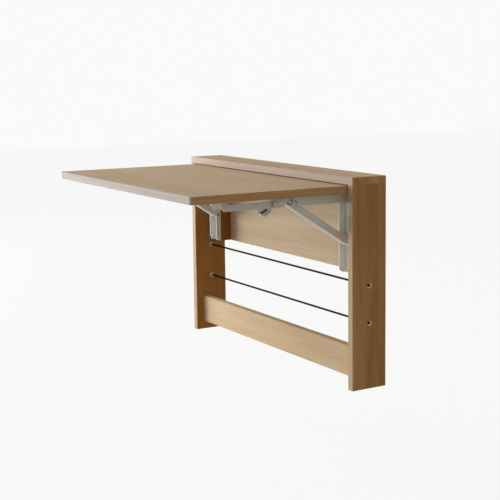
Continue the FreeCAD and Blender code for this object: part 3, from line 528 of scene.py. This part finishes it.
def laminate(name, tones, shift):
    """Matt laminate with a faint fine grain along the leaf's width."""
    finish = Finish(name, Specular_IOR_Level=0.2)
    bands = finish.noise(along_grain(ALONG_X, PRINTED_BANDS), shift=shift)
    fibres = finish.noise(along_grain(ALONG_X, PRINTED_FIBRES), 3.0, 0.6, shift)
    tone = finish.ramp(bands * 0.5 + fibres * 0.5, 0.34, 0.66)
    finish.set("Base_Color", finish.toned(tone, tones))
    finish.set("Roughness", 0.6 + fibres * 0.1)
    finish.bump(fibres, 0.00004)
    return finish.material


top_laminate = laminate("laminate_top", TOP_FACE, shift=(0.2, 0.5, 0.1))
under_laminate = laminate("laminate_underside", UNDERSIDE, shift=(1.2, 0.9, 0.4))
print("laminates:", top_laminate.name, under_laminate.name)

# %% [markdown]
# ## Leaf edge and core
#
# One band runs round the leaf's raw particle board core. The band could be cut into runs with a material
# each, but its own surface direction already tells the front run from the side runs: the pale front run is
# painted light, and the warmer side runs are painted shade. The core only shows where the leaf is cut or
# drilled, and chips pressed together are just what Voronoi cells are.

# %% Edge band and core
# The pale front run is painted light and the warmer side runs are painted shade, on one band.
LIT_FRONT_RUN = ((184, 178, 172), (168, 161, 154))
SHADED_SIDE_RUNS = ((202, 161, 116), (178, 136, 93))
BAND_FIBRES = (30.0, 30.0, 700.0)
BAND_STREAKS = (5.0, 5.0, 220.0)
CHIPS = ((206, 178, 140), (150, 118, 82))
CHIPS_PER_METRE = 420.0


def edge_band():
    """Edge band with painted light on its pale front run and painted shade on its two warmer side runs."""
    finish = Finish("leaf_edge", Specular_IOR_Level=LACQUER_SPECULAR)
    facing = finish.node("ShaderNodeTexCoord", output="Normal")
    sideways = finish.node("ShaderNodeSeparateXYZ", output="X", vector=facing)
    shaded_side = finish.ramp(sideways * sideways, 0.35, 0.9)
    fibres = finish.noise(BAND_FIBRES, 3.0, 0.6)
    streaks = finish.noise(BAND_STREAKS)
    tone = finish.ramp(fibres * 0.5 + streaks * 0.5, 0.36, 0.64)
    runs = finish.mix(shaded_side, finish.toned(tone, LIT_FRONT_RUN), finish.toned(tone, SHADED_SIDE_RUNS))
    finish.set("Base_Color", runs)
    finish.set("Roughness", LACQUER_ROUGHNESS + fibres * 0.12)
    finish.bump(fibres, 0.00002)
    return finish.material


def chipboard():
    """Raw particle board: pale and dark chips pressed together."""
    finish = Finish("particle_board", Roughness=0.85)
    chips = finish.node(
        "ShaderNodeTexVoronoi", {"feature": "F1"}, output="Color", vector=finish.place,
        scale=CHIPS_PER_METRE,
    )
    amount = finish.node("ShaderNodeSeparateColor", output="Red", color=chips)
    finish.set("Base_Color", finish.toned(amount, CHIPS))
    finish.bump(amount, 0.0003)
    return finish.material


band = edge_band()
core = chipboard()
print("leaf edge and core:", band.name, core.name)

# %% [markdown]
# ## Steel
#
# The brackets are folded sheet with a light grey powder coat: a paint with a very fine orange peel and a
# soft gloss. Pins, rivets and screws are zinc plated, which is bright metal with a faint cloudy pattern.
# The rods are black, with a satin coat. One function for paint and one for plating cover them all.

# %% Steel finishes
GREY_PAINT = ((231, 234, 228), (222, 226, 219))
BLACK_PAINT = ((10, 9, 9), (5, 5, 5))
ZINC = ((150, 149, 144), (122, 121, 117))
SPRING_STEEL = ((150, 150, 148), (120, 120, 120))
CAST_ZINC = ((176, 176, 174), (150, 150, 150))


def powder_coat(name, tones, gloss, roughness, peel):
    """Powder coat with a soft mottle and a fine orange peel."""
    finish = Finish(name, Specular_IOR_Level=gloss)
    mottle = finish.noise(evenly(45.0), 3.0, 0.6)
    finish.set("Base_Color", finish.toned(finish.ramp(mottle, 0.3, 0.7), tones))
    finish.set("Roughness", roughness + mottle * 0.1)
    finish.bump(finish.noise(evenly(900.0)), peel)
    return finish.material


def plated(name, tones, roughness):
    """Plated metal with a cloudy pattern."""
    finish = Finish(name, Metallic=1.0)
    cloud = finish.noise(evenly(380.0), 3.0, 0.6)
    finish.set("Base_Color", finish.toned(finish.ramp(cloud, 0.3, 0.7), tones))
    finish.set("Roughness", roughness + cloud * 0.15)
    finish.bump(cloud, 0.00003)
    return finish.material


grey_coat = powder_coat("grey_powder_coat", GREY_PAINT, gloss=0.25, roughness=0.5, peel=0.00004)
black_coat = powder_coat("black_satin_coat", BLACK_PAINT, gloss=0.04, roughness=0.6, peel=0.00003)
zinc = plated("zinc_plate", ZINC, roughness=0.34)
spring_wire = plated("spring_wire", SPRING_STEEL, roughness=0.3)
die_cast = plated("die_cast", CAST_ZINC, roughness=0.42)
print("steel finishes:", grey_coat.name, black_coat.name, zinc.name, spring_wire.name, die_cast.name)

# %% [markdown]
# ## Moulded plastic
#
# Moulded plastic is nearly even in colour. What makes it look real is a faint texture from the mould and a
# soft gloss, so its colour varies by very little and its roughness by more.

# %% Plastics
PALE_PLASTIC = ((246, 234, 214), (236, 222, 200))
BLACK_PLASTIC = ((34, 33, 32), (26, 25, 24))
ROLLER_PLASTIC = ((62, 60, 56), (50, 48, 45))
MOULD_CLOUDS = 120.0
MOULD_TEXTURE = 2200.0


def moulded(name, tones, roughness):
    """Moulded plastic with a fine mould texture."""
    finish = Finish(name)
    cloud = finish.noise(evenly(MOULD_CLOUDS))
    texture = finish.noise(evenly(MOULD_TEXTURE), detail=1.0)
    finish.set("Base_Color", finish.toned(cloud, tones))
    finish.set("Roughness", roughness + texture * 0.1)
    finish.bump(texture, 0.00003)
    return finish.material


pale_plastic = moulded("pale_plastic", PALE_PLASTIC, roughness=0.38)
black_plastic = moulded("black_plastic", BLACK_PLASTIC, roughness=0.45)
roller_plastic = moulded("roller_plastic", ROLLER_PLASTIC, roughness=0.4)
print("plastics:", pale_plastic.name, black_plastic.name, roller_plastic.name)

# %% [markdown]
# ## Rod caps
#
# A cap is a pale cup that closes the hole of each rod in the side panel. It has a rim in the tone of the
# wood, and its bottom is painted dark brown as shade in the deep cup. The caps of both rods and both sides
# share one node, so the three stretches are told apart by their distance from the table's middle, which is
# the same on either side.

# %% Rod caps
CAP_WALL = ((248, 222, 184), (236, 206, 164))
CAP_RIM = (178, 136, 84)
CAP_BOTTOM_SHADE = (46, 30, 14)
CAP_SINK = 0.0006               # rim below the panel's face
CAP_SHADE_DEPTH = 0.0041         # the painted shade begins this far below the rim

rim_at = HALF_WIDTH - CAP_SINK
shade_at = rim_at - CAP_SHADE_DEPTH


def rod_cap():
    """Pale plastic cup with a wood-coloured rim and painted shade at its bottom."""
    finish = Finish("cap_plastic", Roughness=0.55, Specular_IOR_Level=0.2)
    across = finish.coordinate("X")
    either_side = across * across
    below_rim = finish.ramp(either_side, (rim_at - SEAM) ** 2, (rim_at - 3 * SEAM) ** 2)
    in_shade = finish.ramp(either_side, (shade_at + 2 * SEAM) ** 2, shade_at ** 2)
    cloud = finish.noise(evenly(MOULD_CLOUDS))
    rimmed = finish.mix(below_rim, linear(*CAP_RIM), finish.toned(cloud, CAP_WALL))
    # The bottom of the cup is painted dark brown as shade.
    finish.set("Base_Color", finish.mix(in_shade, rimmed, linear(*CAP_BOTTOM_SHADE)))
    finish.bump(cloud, 0.00003)
    return finish.material


cap_plastic = rod_cap()
print("rod caps:", cap_plastic.name)

# %% [markdown]
# ## Dowels
#
# The dowels are raw beech, which has short dark flecks along the wood. They are hidden inside the boards,
# so a few flecks on an even colour are enough.

# %% Beech
BEECH = (218, 188, 150)
BEECH_FLECK = (176, 132, 92)
BEECH_FLECKS = (160.0, 900.0)


def raw_beech():
    """Beech with short dark flecks along the dowel."""
    finish = Finish("raw_beech", Roughness=0.7)
    flecks = finish.noise(along_grain(ALONG_X, BEECH_FLECKS))
    spots = finish.ramp(flecks, 0.56, 0.66)
    finish.set("Base_Color", finish.mix(spots, linear(*BEECH), linear(*BEECH_FLECK)))
    finish.bump(flecks, 0.0001)
    return finish.material


beech = raw_beech()
print("dowels:", beech.name)

# %% [markdown]
# ## Dressing the model
#
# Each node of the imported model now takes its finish. A table from node to material is easier to check than
# a long list of assignments, and a node that is missing from it stops the script.

# %% Which piece has which finish
FINISHES = {
    "top_board": cap_oak,
    "left_side_panel": left_oak,
    "right_side_panel": right_oak,
    "upper_back_rail": upper_oak,
    "lower_rail": lower_oak,
    "wall_batten": batten_oak,
    "left_spacer_block": block_oak,
    "right_spacer_block": block_oak,
    "top_board_dowels": beech,
    "rail_dowels": beech,
    "batten_screws": zinc,
    "block_screws": zinc,
    "cam_bolts": zinc,
    "cam_locks": die_cast,
    "rod_end_screws": zinc,
    "rod_cover_caps": cap_plastic,
    "rod_ferrules": pale_plastic,
    "upper_rod": black_coat,
    "lower_rod": black_coat,
    "leaf_core": core,
    "leaf_top_laminate": top_laminate,
    "leaf_underside_laminate": under_laminate,
    "leaf_edge_band": band,
}
BRACKET_FINISHES = {
    "wall_plate": grey_coat,
    "arm": grey_coat,
    "strut": grey_coat,
    "release_lever": grey_coat,
    "lever_grip": black_plastic,
    "corner_pin": zinc,
    "foot_pin": zinc,
    "slide_pin": zinc,
    "slide_rollers": roller_plastic,
    "latch_dog": zinc,
    "lever_rivet": zinc,
    "lever_spring": spring_wire,
    "wall_plate_screws": zinc,
    "arm_screws": zinc,
}
for side in ("left", "right"):
    for piece, material in BRACKET_FINISHES.items():
        FINISHES[f"{side}_{piece}"] = material

assert set(FINISHES) == set(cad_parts), set(FINISHES) ^ set(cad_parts)
for node_name, material in FINISHES.items():
    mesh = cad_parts[node_name].data
    mesh.materials.clear()
    mesh.materials.append(material)
print("dressed", len(FINISHES), "nodes")

# %% [markdown]
# ## End
#

# %% End
print("end of scene")
